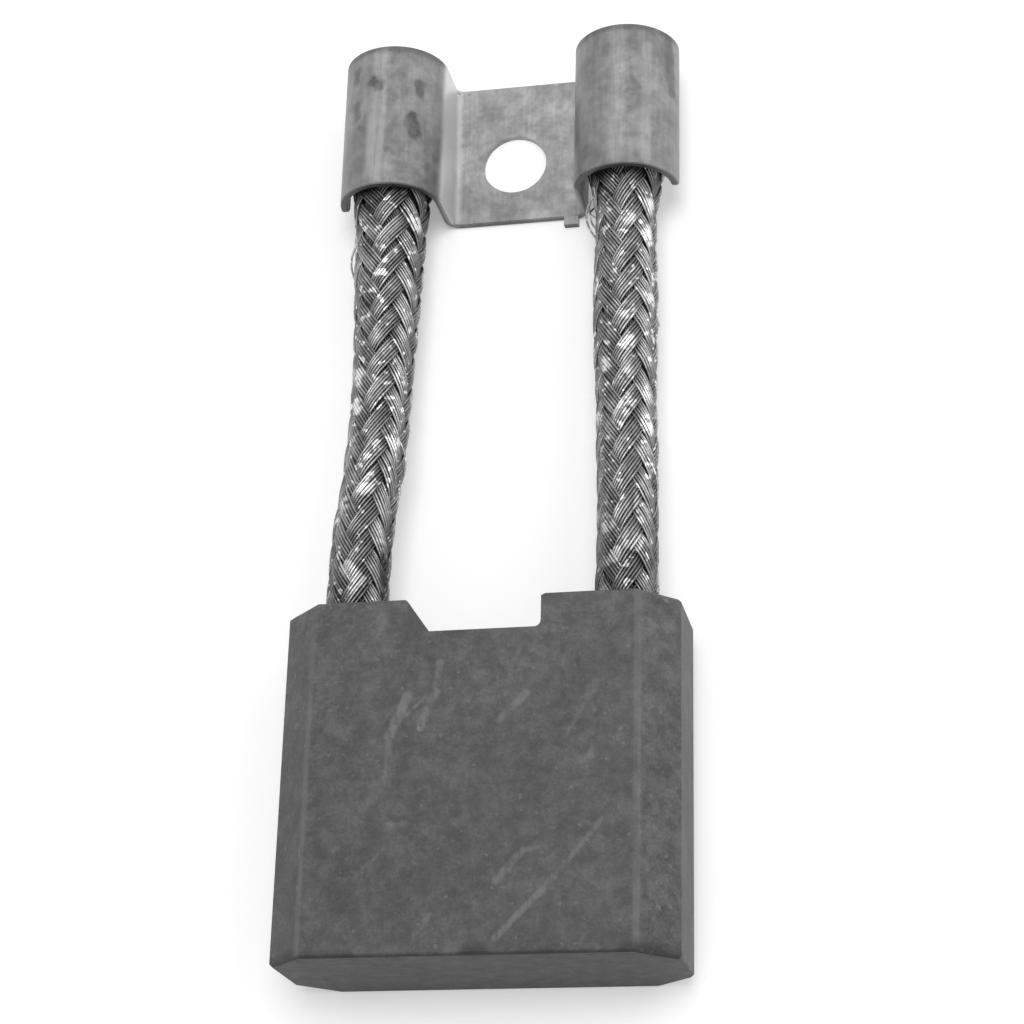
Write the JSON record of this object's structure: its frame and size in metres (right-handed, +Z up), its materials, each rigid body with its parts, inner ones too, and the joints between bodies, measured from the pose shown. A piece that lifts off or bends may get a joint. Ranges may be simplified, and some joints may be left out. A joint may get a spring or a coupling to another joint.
{
  "type": "carbon brush",
  "caption": "Pressed carbon brush block with bevelled long edges and a spring notch, on braided leads that end in a rolled strip terminal with a screw hole.",
  "frame": {"origin": "bottom centre of the whole brush, on the surface that it lies on", "axes": "+Y along the brush from the contact face to the terminal, +Z up through the block's thickness, +X across its width"},
  "size_m": [0.025, 0.0644, 0.01],
  "materials": {
    "metal_graphite": "matte pressed",
    "tinned_braid": "braided wire",
    "tinned_strip": "dull tinned"
  },
  "bodies": {
    "root": {"brush_block": "metal_graphite", "shunt_left": "tinned_braid", "shunt_right": "tinned_braid", "terminal": "tinned_strip"}
  },
  "joints": []
}
